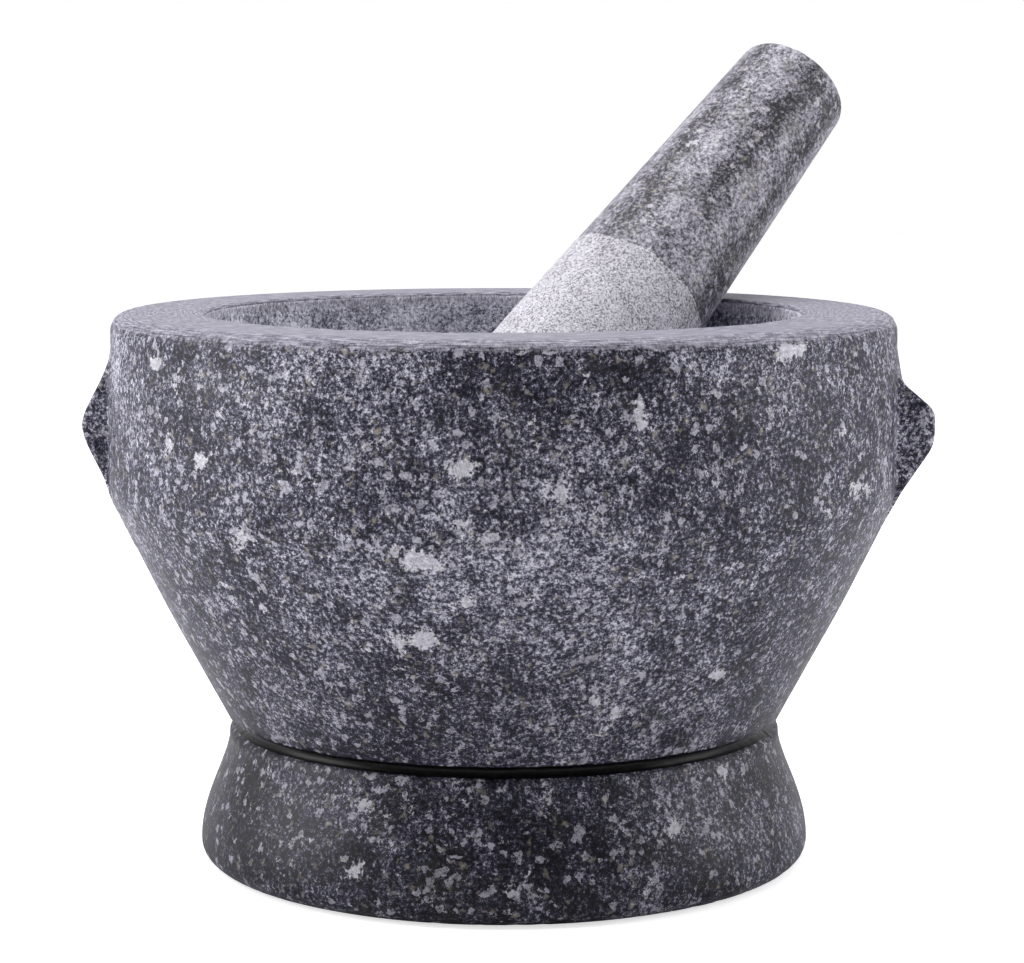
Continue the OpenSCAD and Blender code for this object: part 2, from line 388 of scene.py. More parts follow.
def buildMortar(s, marks):
    profile, floorCentre = mortarProfile(s)
    radius, height, along = resampleProfile(profile, mortarSpacing(s))
    angle = mortarAngles(s)
    rad, theta = np.meshgrid(radius, angle, indexing="ij")
    hgt = np.repeat(height[:, None], len(angle), 1)
    top = s["height"]
    topRow = int(np.argmax(np.isclose(height, top, atol=0.005) & (radius < s["rimRadius"] - 2)))
    outer = np.arange(len(radius)) < topRow
    lug = lugRadius(s, theta, hgt)
    rad = np.where(outer[:, None] & (lug > rad - 3), softMax(rad, lug, s["lugFillet"]), rad)

    def place(r, z):
        return np.stack([r * np.cos(theta), r * np.sin(theta), z], -1)

    points = place(rad, hgt)
    # Normals in the section's plane push the surface in, so relief only ever cuts into the stone.
    slopeR, slopeZ = np.gradient(rad, axis=0), np.gradient(hgt, axis=0)
    size = np.hypot(slopeR, slopeZ) + 1e-9
    normalR, normalZ = slopeZ / size, -slopeR / size

    # How near each row is to an edge that chips: e to the minus squared distance over a few
    # millimetres.
    edgeRimOuter = np.exp(-(((height - top) / 3.0) ** 2 + ((radius - s["rimRadius"]) / 3.5) ** 2)) * outer
    edgeRimInner = np.exp(-(((height - top) / 2.2) ** 2 + ((radius - s["bowlRadius"]) / 2.2) ** 2))
    edgeFoot = np.exp(-((height - 2) / 2.5) ** 2) * (radius > s["baseRadius"] - 2)
    grooveMiddle = s["grooveHeight"] + s["grooveWidth"] / 2
    lips = np.exp(-((np.abs(height - grooveMiddle) - s["grooveWidth"] / 2 - 0.3) / 0.8) ** 2) * outer
    chipDepth, chipSize = s["edgeChips"]
    innerDepth, innerSize = s["innerChips"]
    chips = smoothStep(roughNoise(points, chipSize, 11), 0.12, 0.75)
    smallChips = smoothStep(roughNoise(points, innerSize, 12), 0.05, 0.7)
    cut = chipDepth * chips * (edgeRimOuter + s["footChipShare"] * edgeFoot)[:, None]
    cut += innerDepth * smallChips * edgeRimInner[:, None] + s["lipChipDepth"] * smallChips * lips[:, None]
    wallZone = (outer & (height > 0.5) & (height < top - 2)).astype(float)
    bowlZone = (~outer & (height < top - 1.6)).astype(float)
    reliefs = (("wallWaves", 21, wallZone), ("wallRipples", 22, wallZone), ("bowlPits", 31, bowlZone))
    for kind, seed, rows in reliefs:
        depth, noiseSize = s[kind]
        cut += depth * (0.5 + 0.5 * roughNoise(points, noiseSize, seed)) * rows[:, None]
    rad, hgt = rad - cut * normalR, hgt - cut * normalZ
    hgt = np.clip(hgt, 0, top)
    points = place(rad, hgt) * mm

    grooveRows = outer & (np.abs(height - grooveMiddle) < s["grooveWidth"] / 2 + 0.1)
    grooveRows &= radius < s["waistRadius"] - 0.2
    bowlRows = ~outer & (height < top - s["rimInnerRounding"] * 0.6)
    slots = np.where(grooveRows, 1, np.where(bowlRows, 2, 0))[:-1]
    floorPole = (0, 0, (floorCentre - (s["bowlRadius"] - s["bowlDraft"]) - 0.15) * mm)
    piece = meshFromRows("mortarStone", points, (0, 0, 0), floorPole,
                         (angle * s["rimRadius"] * mm, along * mm), slots)

    edge = np.where(outer, smoothStep(height, top - 4.6, top - 0.4), smoothStep(height, top - 1.4, top - 0.3))
    fringe = np.where(outer, 0, smoothStep(height, top - 5.5, top - 1.8))
    outside = np.where(outer[:, None], 1.0, 0.0)
    feldspar = spotField(theta, rad, hgt, [(*spot, 1.0) for spot in marks["feldspars"]]) * outside
    zone = spotField(theta, rad, hgt, marks["zones"]) * outside
    for name, field in (("ground", edge), ("fringe", fringe), ("feldspar", feldspar), ("zone", zone)):
        values = field if field.ndim == 2 else np.repeat(field[:, None], len(angle), 1)
        addAttribute(piece, name, np.append(values.ravel(), [0, 0]))
    print("mortar:", len(radius), "rows,", len(angle), "columns")
    return piece


pestleShape = {
    "length": 212.5,
    "headRadius": 26.4,
    "topRadius": 16.3,
    "topRounding": 2.2,
    "topCrown": 2.0,
    "headLength": 125.0,
    "shoulder": 0.3,
    "lean": 49.7,
    "leanDirection": 46.0,
    "restGap": 0.3,
    # Relief that cuts into the stone: its depth, and the size of the noise that shapes it.
    "headPits": (0.32, 1.9),
    "waves": (0.16, 22.0),
    "topChips": (0.35, 3.0),
    "headEndWander": 0.9,
    "spacing": {"head": 0.85, "shaft": 1.3, "top": 0.7},
    "columns": 232,
    # Dark bands: degrees round the axis, half width in degrees, where each starts and ends below the
    # top, and its strength.
    "bands": [
        (-172, 13, 30, 95, 0.9), (-176, 10, 0, 30, 0.8), (-122, 13, 2, 66, 1.0), (-76, 14, 0, 95, 1.0),
        (-20, 12, 10, 80, 0.8), (38, 13, 0, 60, 0.9), (96, 12, 20, 95, 0.9), (140, 10, 0, 90, 0.6),
    ],
}


# The bands as a field: e to the minus squared angle from each band's middle, which sways a little,
# faded out past both of its ends.
def bandField(p, theta, height):
    field = np.zeros(theta.shape)
    below = p["length"] - height
    for degrees, halfWidth, start, end, strength in p["bands"]:
        sway = 4 * np.sin(below / 11.0 + degrees) + 2 * np.sin(below / 4.3 + 2 * degrees)
        turned = (np.degrees(theta) - degrees + sway + 180) % 360 - 180
        within = smoothStep(below, start - 6, start + 3) * (1 - smoothStep(below, end - 6, end + 6))
        field = np.maximum(field, strength * within * np.exp(-(turned / halfWidth) ** 2))
    return field


# Centre of the round head in the upright plane of the lean: a line tangent to the rim's rounded
# edge and to the head, and a head ball resting inside the ball of the bowl's floor.
def headPlace(p, s):
    floorRadius = s["bowlRadius"] - s["bowlDraft"]
    floorCentre = np.array([0, s["height"] - s["bowlDepth"] + floorRadius])
    taper = pestleTaper(p)
    under = math.radians(p["lean"]) - taper
    way, normal = np.array([math.sin(under), math.cos(under)]), np.array([math.cos(under), -math.sin(under)])
    edge = np.array([s["bowlRadius"] + s["rimInnerRounding"], s["height"] - s["rimInnerRounding"]])
    side = normal @ edge - (p["headRadius"] - p["shoulder"] + s["rimInnerRounding"] + p["restGap"])
    free = floorRadius - p["headRadius"] - p["restGap"]
    drop = math.sqrt(free ** 2 - (side - normal @ floorCentre) ** 2)
    return normal * side + way * (way @ floorCentre - drop)


def pestleTaper(p):
    shaft = p["headRadius"] - p["shoulder"] - p["topRadius"]
    return math.atan(shaft / (p["length"] - p["topCrown"] - p["headRadius"]))


# Half section of the upright pestle: a ball, a cone tangent to it, a faint shoulder where the
# rough head ends, a slimmer cone, a rounded edge and a crown.
def pestleProfile(p):
    taper = pestleTaper(p)
    ball = np.linspace(-math.pi / 2 + 0.03, taper, 60)
    head = p["headRadius"] * np.stack([np.cos(ball), 1 + np.sin(ball)], -1)

    def cone(ballRadius, h):
        return ballRadius / math.cos(taper) - (h - p["headRadius"]) * math.tan(taper)

    end = np.array([[cone(p["headRadius"], p["headLength"]), p["headLength"]]])
    start = np.array([[cone(p["headRadius"] - p["shoulder"], p["headLength"] + 1), p["headLength"] + 1]])
    half = p["topRadius"] - p["topRounding"]
    crownRadius = (half ** 2 + p["topCrown"] ** 2) / (2 * p["topCrown"])
    crownAngle = math.asin(half / crownRadius)
    turn = np.linspace(taper, math.pi / 2 - crownAngle, 14)
    topEdge = p["length"] - p["topCrown"] - p["topRounding"]
    edge = np.stack([half + p["topRounding"] * np.cos(turn), topEdge + p["topRounding"] * np.sin(turn)], -1)
    sweep = np.linspace(math.pi / 2 - crownAngle, math.pi / 2 - 0.02, 20)[1:]
    crown = np.stack([crownRadius * np.cos(sweep), p["length"] + crownRadius * (np.sin(sweep) - 1)], -1)
    return np.concatenate([head, end, start, edge, crown])


def buildPestle(p, s):
    step = p["spacing"]

    def spacingAt(radius, height):
        spacing = np.where(height < p["headLength"] + 4, step["head"], step["shaft"])
        return np.where(height > p["length"] - p["topCrown"] - 4, step["top"], spacing)

    radius, height, along = resampleProfile(pestleProfile(p), spacingAt)
    angle = np.arange(p["columns"]) / p["columns"] * 2 * math.pi
    rad, theta = np.meshgrid(radius, angle, indexing="ij")
    hgt = np.repeat(height[:, None], len(angle), 1)
    points = np.stack([rad * np.cos(theta), rad * np.sin(theta), hgt], -1)
    # The pecked head is pitted all over, and its end wanders a little round the pestle.
    pitDepth, pitSize = p["headPits"]
    waveDepth, waveSize = p["waves"]
    chipDepth, chipSize = p["topChips"]
    wander = p["headEndWander"] * roughNoise(points * np.array([1, 1, 0.02]), 9.0, 41)
    rough = 1 - smoothStep(hgt + wander, p["headLength"] - 0.7, p["headLength"] + 0.7)
    pits = 0.5 + 0.5 * roughNoise(points, pitSize, 42, octaves=2)
    wave = 0.5 + 0.5 * roughNoise(points, waveSize, 43)
    edge = np.exp(-((hgt - (p["length"] - p["topCrown"] - 0.5)) / 1.5) ** 2)
    chips = smoothStep(roughNoise(points, chipSize, 44), 0.1, 0.7)
    cut = rough * pitDepth * pits + waveDepth * wave + chipDepth * edge * chips
    slopeR, slopeZ = np.gradient(rad, axis=0), np.gradient(hgt, axis=0)
    size = np.hypot(slopeR, slopeZ) + 1e-9
    rad, hgt = rad - cut * slopeZ / size, hgt + cut * slopeR / size

    lean, way = math.radians(p["lean"]), math.radians(p["leanDirection"])
    centre = headPlace(p, s)
    spin = np.array([[math.cos(way), -math.sin(way), 0], [math.sin(way), math.cos(way), 0], [0, 0, 1]])
    tilt = np.array([[math.cos(lean), 0, math.sin(lean)], [0, 1, 0], [-math.sin(lean), 0, math.cos(lean)]])
    turn = spin @ tilt
    origin = spin @ np.array([centre[0], 0, centre[1]])

    def settle(upright):
        return ((upright - [0, 0, p["headRadius"]]) @ turn.T + origin) * mm

    points = settle(np.stack([rad * np.cos(theta), rad * np.sin(theta), hgt], -1))
    poleLow = settle(np.array([0, 0, 0.15]))
    poleHigh = settle(np.array([0, 0, p["length"] - 0.1]))
    slots = np.zeros(len(radius) - 1)
    piece = meshFromRows("pestleStone", points, poleLow, poleHigh,
                         (angle * p["headRadius"] * mm, along * mm), slots)
    addAttribute(piece, "pecked", np.append(rough.ravel(), [1, 0]))
    addAttribute(piece, "band", np.append(bandField(p, theta, hgt).ravel(), [0, 0]))
    print("pestle:", len(radius), "rows,", len(angle), "columns")
    return piece, origin * mm


mortarStone = buildMortar(mortarShape, mortarMarks)
pestleStone, headCentre = buildPestle(pestleShape, mortarShape)


# What a node gives to another: the first of its outputs that is in use.
def firstOutput(node):
    return next(socket for socket in node.outputs if socket.enabled)


# Adds one node. Its inputs are set or linked by name or number, a node given as an input gives its
# first output, stops fill a colour ramp, and everything else is a setting of the node.
def addNode(tree, kind, inputs=None, stops=None, **settings):
    node = tree.nodes.new(kind)
    for key, value in settings.items():
        setattr(node, key, value)
    for key, value in (inputs or {}).items():
        if isinstance(value, bpy.types.Node):
            value = firstOutput(value)
        if isinstance(value, bpy.types.NodeSocket):
            tree.links.new(value, node.inputs[key])
        else:
            node.inputs[key].default_value = value
    if stops:
        for position, colour in stops[1:-1]:
            node.color_ramp.elements.new(position).color = linearHex(colour)
        for end in (0, -1):
            node.color_ramp.elements[end].position = stops[end][0]
            node.color_ramp.elements[end].color = linearHex(stops[end][1])
    return node


def newMaterial(name, roughness=0.5, specular=0.5, ior=1.5):
    material = bpy.data.materials.new(name)
    material.use_nodes = True
    tree = material.node_tree
    tree.nodes.clear()
    shader = addNode(tree, "ShaderNodeBsdfPrincipled",
                     {"Roughness": roughness, "Specular IOR Level": specular, "IOR": ior})
    addNode(tree, "ShaderNodeOutputMaterial", {"Surface": shader})
    return material, tree, shader


def finishShader(tree, shader, inputs):
    for name, node in inputs.items():
        tree.links.new(firstOutput(node), shader.inputs[name])


# Granite: a fine ground of dark mica and hornblende with pale feldspar at every size. The tone is
# one sum of three noises, for the millimetre grains, the centimetre patches and the broad zones,
# read through a ramp from near black to pale, so that the grains show as crisp salt and pepper.
# On it lie single crystals of a millimetre or two and ragged clusters of several millimetres.
# Sizes are in millimetres, and heights in metres.
darkGranite = {
    "grainSize": 1.05,
    "patchSize": 11.0,
    "zoneSize": 60.0,
    "crystalSize": 1.6,
    "clusterSize": 5.0,
    "oliveSize": 9.0,
    "stainSize": 2.2,
    "streakSize": 0.5,
    "streakStretch": 12,
    "wobbleSize": 1.1,
    "wobble": 1.6,
    "grainGain": 2.9,
    "patchGain": 0.9,
    "zoneGain": 0.5,
    "tones": [(0.08, "#0e0d15"), (0.22, "#1d1c28"), (0.40, "#32313f"), (0.53, "#484757"), (0.66, "#6f6d7c"),
              (0.84, "#abaab7"), (1.00, "#d6d4de")],
    "zoneLift": 0.11,
    # The foot and the lower wall are darkened in tone towards the bottom, and the foot's colour is scaled
    # down: partly the stone's own darker foot and partly painted shade.
    "footToneStoneAndPaintedShade": -0.13,
    "footToneStoneAndPaintedShadeHeights": (0.034, 0.075),
    "footScaleStoneAndPaintedShade": 0.94,
    "footScaleStoneAndPaintedShadeHeights": (0.036, 0.0385),
    # Painted shade on the lower wall, where the foot keeps the table's light off: darkest at the groove,
    # fading out upwards, and carried on down over the foot.
    "lowWallPaintedShade": 0.80,
    "lowWallPaintedShadeHeights": (0.040, 0.080),
    "crystalShare": 0.07,
    "crystalColour": "#b3b1bd",
    "clusterLevel": 0.67,
    "clusterSoftness": 0.12,
    "clusterContrast": 1.25,
    "clusterGrain": 0.55,
    "clusterCover": 0.88,
    "placedGain": 0.33,
    "clusterColour": "#dad8e1",
    "oliveTint": "#2f3029",
    "warmTint": "#c2b8a4",
    "tintCover": 0.4,
    "rimTones": [(0.46, "#43414d"), (0.54, "#656370"), (0.60, "#7f7d8a"), (0.66, "#94929f"),
                 (0.76, "#b3b1bc")],
}


# Gives the colour, and the grain, the bent place and the tone that other patterns build on.
def graniteColour(tree, place, g, lift):
    wobble = addNode(tree, "ShaderNodeTexNoise", {"Vector": place, "Scale": 1 / (g["wobbleSize"] * mm),
                                                  "Detail": 1.0})
    bend = (g["wobble"] * mm,) * 3
    bent = addNode(tree, "ShaderNodeVectorMath", {0: wobble.outputs["Color"], 1: bend, 2: place},
                   operation="MULTIPLY_ADD")
    grain = addNode(tree, "ShaderNodeTexNoise", {"Vector": place, "Scale": 1 / (g["grainSize"] * mm),
                                                 "Detail": 3.0, "Roughness": 0.88})
    patch = addNode(tree, "ShaderNodeTexNoise", {"Vector": bent, "Scale": 1 / (g["patchSize"] * mm),
                                                 "Detail": 2.0, "Roughness": 0.8})
    zone = addNode(tree, "ShaderNodeTexNoise", {"Vector": place, "Scale": 1 / (g["zoneSize"] * mm),
                                                "Detail": 1.0})
    tone = addNode(tree, "ShaderNodeMath", {0: grain, 1: g["grainGain"], 2: lift}, operation="MULTIPLY_ADD")
    tone = addNode(tree, "ShaderNodeMath", {0: patch, 1: g["patchGain"], 2: tone}, operation="MULTIPLY_ADD")
    tone = addNode(tree, "ShaderNodeMath", {0: zone, 1: g["zoneGain"], 2: tone}, operation="MULTIPLY_ADD")
    centre = 0.5 - (g["grainGain"] + g["patchGain"] + g["zoneGain"]) / 2
    tone = addNode(tree, "ShaderNodeMath", {0: tone, 1: centre}, operation="ADD")
    colour = addNode(tree, "ShaderNodeValToRGB", {"Fac": tone}, stops=g["tones"])

    # Single crystals: a few of the cells, told apart by their random colour, broken up by the grain.
    cell = addNode(tree, "ShaderNodeTexVoronoi", {"Vector": bent, "Scale": 1 / (g["crystalSize"] * mm)})
    pick = addNode(tree, "ShaderNodeSeparateColor", {0: cell.outputs["Color"]})
    chosen = addNode(tree, "ShaderNodeMath", {0: pick.outputs[0], 1: 1 - g["crystalShare"]},
                     operation="GREATER_THAN")
    bright = addNode(tree, "ShaderNodeMapRange", {"Value": grain, "From Min": 0.36, "From Max": 0.56,
                                                  "To Min": 0.10, "To Max": 0.90})
    share = addNode(tree, "ShaderNodeMath", {0: chosen, 1: bright}, operation="MULTIPLY")
    colour = addNode(tree, "ShaderNodeMix", {0: share, 6: colour, 7: linearHex(g["crystalColour"])},
                     data_type="RGBA")
    return colour, grain, bent, tone


# Pale clusters: a rough noise past a high level, and the large ones that were listed one by one.
def addClusters(tree, colour, grain, bent, g, placed):
    spread = addNode(tree, "ShaderNodeTexNoise", {"Vector": bent, "Scale": 1 / (g["clusterSize"] * mm),
                                                  "Detail": 4.0, "Roughness": 0.68})
    centre = 0.5 - g["clusterContrast"] / 2
    spread = addNode(tree, "ShaderNodeMath", {0: spread, 1: g["clusterContrast"], 2: centre},
                     operation="MULTIPLY_ADD")
    field = addNode(tree, "ShaderNodeMath", {0: placed, 1: g["placedGain"], 2: spread},
                    operation="MULTIPLY_ADD")
    field = addNode(tree, "ShaderNodeMath", {0: grain, 1: g["clusterGrain"], 2: field},
                    operation="MULTIPLY_ADD")
    level = g["clusterLevel"] + g["clusterGrain"] / 2
    mask = addNode(tree, "ShaderNodeMapRange", {"Value": field, "From Min": level,
                                                "From Max": level + g["clusterSoftness"],
                                                "To Max": g["clusterCover"]},
                   interpolation_type="SMOOTHSTEP")
    mottle = addNode(tree, "ShaderNodeMapRange", {"Value": grain, "From Min": 0.35, "From Max": 0.68,
                                                  "To Min": 0.55, "To Max": 1.1})
    pale = addNode(tree, "ShaderNodeVectorMath", {0: linearHex(g["clusterColour"])[:3], "Scale": mottle},
                   operation="SCALE")
    return addNode(tree, "ShaderNodeMix", {0: mask, 6: colour, 7: pale}, data_type="RGBA")


# Faint tints: olive in the darks, and a few grains stained the colour of sand.
def addTints(tree, colour, place, g):
    olive = addNode(tree, "ShaderNodeTexNoise", {"Vector": place, "Scale": 1 / (g["oliveSize"] * mm),
                                                 "Detail": 3.0, "Roughness": 0.7})
    share = addNode(tree, "ShaderNodeMapRange", {"Value": olive, "From Min": 0.54, "From Max": 0.70,
                                                 "To Max": g["tintCover"]})
    colour = addNode(tree, "ShaderNodeMix", {0: share, 6: colour, 7: linearHex(g["oliveTint"])},
                     data_type="RGBA")
    stain = addNode(tree, "ShaderNodeTexNoise", {"Vector": place, "Scale": 1 / (g["stainSize"] * mm),
                                                 "Detail": 2.0})
    share = addNode(tree, "ShaderNodeMapRange", {"Value": stain, "From Min": 0.62, "From Max": 0.76,
                                                 "To Max": g["tintCover"]})
    return addNode(tree, "ShaderNodeMix", {0: share, 6: colour, 7: linearHex(g["warmTint"])},
                   data_type="RGBA")


# The turned and honed outer wall has a satin skin in which every grain shows. Its colour darkens
# towards the bottom: painted shade on the lower wall, and on the foot partly the stone's own darker
# tone and partly painted shade. The rim was ground flat on a wheel: a paler, dusty grey drawn out in
# fine streaks.
def turnedGranite(g):
    material, tree, shader = newMaterial("turnedGraniteWall", ior=1.5, specular=0.2)
    place = addNode(tree, "ShaderNodeTexCoord").outputs["Object"]
    zone = addNode(tree, "ShaderNodeAttribute", attribute_name="zone").outputs["Fac"]
    height = addNode(tree, "ShaderNodeSeparateXYZ", {0: place}).outputs["Z"]
    (liftLow, liftHigh), (footLow, footHigh) = g["footToneStoneAndPaintedShadeHeights"], g["footScaleStoneAndPaintedShadeHeights"]
    wallLow, wallHigh = g["lowWallPaintedShadeHeights"]
    # The tone drops towards the bottom: on the foot partly the stone's own darker tone and partly painted
    # shade, on the lower wall painted shade.
    low = addNode(tree, "ShaderNodeMapRange", {"Value": height, "From Min": liftLow, "From Max": liftHigh,
                                               "To Min": g["footToneStoneAndPaintedShade"], "To Max": 0.0})
    lift = addNode(tree, "ShaderNodeMath", {0: zone, 1: -g["zoneLift"], 2: low}, operation="MULTIPLY_ADD")
    colour, grain, bent, tone = graniteColour(tree, place, g, lift)
    placed = addNode(tree, "ShaderNodeAttribute", attribute_name="feldspar").outputs["Fac"]
    colour = addClusters(tree, colour, grain, bent, g, placed)
    colour = addTints(tree, colour, place, g)

    unrolled = addNode(tree, "ShaderNodeUVMap", uv_map="unrolled")
    drawn = addNode(tree, "ShaderNodeMapping", {"Vector": unrolled, "Scale": (1 / g["streakStretch"], 1, 1)})
    streaks = addNode(tree, "ShaderNodeTexNoise", {"Vector": drawn, "Scale": 1 / (g["streakSize"] * mm),
                                                   "Detail": 3.0, "Roughness": 0.7})
    dusty = addNode(tree, "ShaderNodeMath", {0: streaks, 1: 0.8}, operation="MULTIPLY")
    dusty = addNode(tree, "ShaderNodeMath", {0: grain, 1: 0.4, 2: dusty}, operation="MULTIPLY_ADD")
    rimColour = addNode(tree, "ShaderNodeValToRGB", {"Fac": dusty}, stops=g["rimTones"])
    edge = addNode(tree, "ShaderNodeAttribute", attribute_name="ground").outputs["Fac"]
    ragged = addNode(tree, "ShaderNodeMath", {0: tone, 1: 0.6, 2: edge}, operation="MULTIPLY_ADD")
    rim = addNode(tree, "ShaderNodeMapRange", {"Value": ragged, "From Min": 0.62, "From Max": 1.02,
                                               "To Max": 0.94})
    colour = addNode(tree, "ShaderNodeMix", {0: rim, 6: colour, 7: rimColour}, data_type="RGBA")
    # Painted shade: the colour is scaled darker on the foot and up the lower wall; on the foot part of this
    # is the stone's own darker tone.
    foot = addNode(tree, "ShaderNodeMapRange", {"Value": height, "From Min": footLow, "From Max": footHigh,
                                                "To Min": g["footScaleStoneAndPaintedShade"], "To Max": 1.0})
    wall = addNode(tree, "ShaderNodeMapRange", {"Value": height, "From Min": wallLow, "From Max": wallHigh,
                                                "To Min": g["lowWallPaintedShade"], "To Max": 1.0})
    shade = addNode(tree, "ShaderNodeMath", {0: foot, 1: wall}, operation="MULTIPLY")
    colour = addNode(tree, "ShaderNodeVectorMath", {0: colour, "Scale": shade}, operation="SCALE")
    rough = addNode(tree, "ShaderNodeMapRange", {"Value": tone, "From Min": 0.2, "From Max": 0.8,
                                                 "To Min": 0.42, "To Max": 0.60})
    relief = addNode(tree, "ShaderNodeMath", {0: streaks, 1: rim, 2: grain}, operation="MULTIPLY_ADD")
    bump = addNode(tree, "ShaderNodeBump", {"Height": relief, "Strength": 0.35, "Distance": 0.15 * mm})
    finishShader(tree, shader, {"Base Color": colour, "Roughness": rough, "Normal": bump})
    return material


# The groove is polished nearly black, with a thin wet gleam.
polishedBlack = {
    "grainSize": 0.9,
    "tones": [(0.5, "#060608"), (0.8, "#1a191e")],
}


def polishedGroove(g):
    material, tree, shader = newMaterial("polishedBlackGroove", ior=1.45, roughness=0.3, specular=0.15)
    place = addNode(tree, "ShaderNodeTexCoord").outputs["Object"]
    grain = addNode(tree, "ShaderNodeTexNoise", {"Vector": place, "Scale": 1 / (g["grainSize"] * mm),
                                                 "Detail": 3.0})
    colour = addNode(tree, "ShaderNodeValToRGB", {"Fac": grain}, stops=g["tones"])
    bump = addNode(tree, "ShaderNodeBump", {"Height": grain, "Strength": 0.15, "Distance": 0.05 * mm})
    finishShader(tree, shader, {"Base Color": colour, "Normal": bump})
    return material


# The bowl's inside is pecked and rubbed matt: a lighter blue-grey with an even fine grain, and just
# under the rim a fringe of pale strokes where the chisel bruised the stone.
bowlGranite = dict(
    darkGranite, grainSize=0.95, grainGain=2.9, patchGain=1.2, zoneGain=0.4, crystalColour="#cbc9d3",
    tones=[(0.10, "#474753"), (0.32, "#7a7a88"), (0.52, "#a9a8b7"), (0.70, "#d0cfdb"), (0.92, "#f0eff7")],
    fringeTones=[(0.36, "#65636f"), (0.50, "#b2b0bc"), (0.64, "#e4e2ea")],
    strokeSize=0.7, strokeTurn=-28, strokeStretch=0.45,
)


def rubbedBowl(g):
    material, tree, shader = newMaterial("rubbedGraniteBowl", ior=1.5, roughness=0.75, specular=0.2)
    place = addNode(tree, "ShaderNodeTexCoord").outputs["Object"]
    colour, grain, *_ = graniteColour(tree, place, g, 0.0)
    unrolled = addNode(tree, "ShaderNodeUVMap", uv_map="unrolled")
    drawn = addNode(tree, "ShaderNodeMapping", {"Vector": unrolled,
                                                "Rotation": (0, 0, math.radians(g["strokeTurn"])),
                                                "Scale": (1.0, g["strokeStretch"], 1.0)})
    strokes = addNode(tree, "ShaderNodeTexNoise", {"Vector": drawn, "Scale": 1 / (g["strokeSize"] * mm),
                                                   "Detail": 2.0, "Roughness": 0.7})
    bruise = addNode(tree, "ShaderNodeValToRGB", {"Fac": strokes}, stops=g["fringeTones"])
    edge = addNode(tree, "ShaderNodeAttribute", attribute_name="fringe").outputs["Fac"]
    ragged = addNode(tree, "ShaderNodeMath", {0: strokes, 1: 1.2, 2: edge}, operation="MULTIPLY_ADD")
    fringe = addNode(tree, "ShaderNodeMapRange", {"Value": ragged, "From Min": 1.15, "From Max": 1.7,
                                                  "To Max": 0.8})
    colour = addNode(tree, "ShaderNodeMix", {0: fringe, 6: colour, 7: bruise}, data_type="RGBA")
    bump = addNode(tree, "ShaderNodeBump", {"Height": grain, "Strength": 0.6, "Distance": 0.3 * mm})
    finishShader(tree, shader, {"Base Color": colour, "Normal": bump})
    return material


# The pestle's shaft is honed: a lighter granite whose dark minerals lie in bands along its length.
# Its head is pecked all over, which crushes the surface to a pale rough skin with fine dark specks.
pestleGranite = dict(
    darkGranite, grainSize=1.05, patchSize=6.0, grainGain=2.7, patchGain=0.9, zoneGain=0.3, bandDrop=0.31,
    tones=[(0.06, "#151419"), (0.22, "#3a3841"), (0.38, "#676570"), (0.52, "#82808b"), (0.66, "#9896a1"),
           (0.84, "#b2b0ba"), (1.00, "#c8c6cf")],
    headTones=[(0.28, "#5b595e"), (0.39, "#8a888d"), (0.50, "#b4b2ba"), (0.62, "#c8c6ce"), (0.80, "#dcdae1")],
    crystalShare=0.03, crystalColour="#b4b2ba", clusterLevel=0.72, clusterColour="#c4bfc0",
    oliveTint="#55564e", peckSize=0.55, peckContrastFromTone=0.22,
)


def pestleStoneFinish(g, p, origin):
    material, tree, shader = newMaterial("honedAndPeckedGranitePestle", ior=1.5, specular=0.25)
    place = addNode(tree, "ShaderNodeTexCoord").outputs["Object"]
    rest = {"Vector": place, "Location": origin.tolist(),
            "Rotation": (0, math.radians(p["lean"]), math.radians(p["leanDirection"]))}
    upright = addNode(tree, "ShaderNodeMapping", rest, vector_type="TEXTURE").outputs[0]
    band = addNode(tree, "ShaderNodeAttribute", attribute_name="band").outputs["Fac"]
    lift = addNode(tree, "ShaderNodeMath", {0: band, 1: -g["bandDrop"]}, operation="MULTIPLY")
    colour, grain, bent, tone = graniteColour(tree, upright, g, lift)
    colour = addClusters(tree, colour, grain, bent, g, 0.0)
    colour = addTints(tree, colour, upright, g)

    pecks = addNode(tree, "ShaderNodeTexNoise", {"Vector": upright, "Scale": 1 / (g["peckSize"] * mm),
                                                 "Detail": 1.5, "Roughness": 0.8})
    pale = addNode(tree, "ShaderNodeMath", {0: tone, 1: g["peckContrastFromTone"], 2: pecks},
                   operation="MULTIPLY_ADD")
    pale = addNode(tree, "ShaderNodeMath", {0: pale, 1: g["peckContrastFromTone"] / 2}, operation="SUBTRACT")
    head = addNode(tree, "ShaderNodeValToRGB", {"Fac": pale}, stops=g["headTones"])
    pecked = addNode(tree, "ShaderNodeAttribute", attribute_name="pecked").outputs["Fac"]
    ragged = addNode(tree, "ShaderNodeMath", {0: grain, 1: 0.6, 2: pecked}, operation="MULTIPLY_ADD")
    pecked = addNode(tree, "ShaderNodeMapRange", {"Value": ragged, "From Min": 0.74, "From Max": 0.86})
    colour = addNode(tree, "ShaderNodeMix", {0: pecked, 6: colour, 7: head}, data_type="RGBA")
    rough = addNode(tree, "ShaderNodeMapRange", {"Value": pecked, "To Min": 0.45, "To Max": 0.85})
    relief = addNode(tree, "ShaderNodeMath", {0: pecked, 1: 2.0, 2: 0.5}, operation="MULTIPLY_ADD")
    relief = addNode(tree, "ShaderNodeMath", {0: relief, 1: pecks}, operation="MULTIPLY")
    bump = addNode(tree, "ShaderNodeBump", {"Height": relief, "Strength": 0.5, "Distance": 0.2 * mm})
    finishShader(tree, shader, {"Base Color": colour, "Roughness": rough, "Normal": bump})
    return material


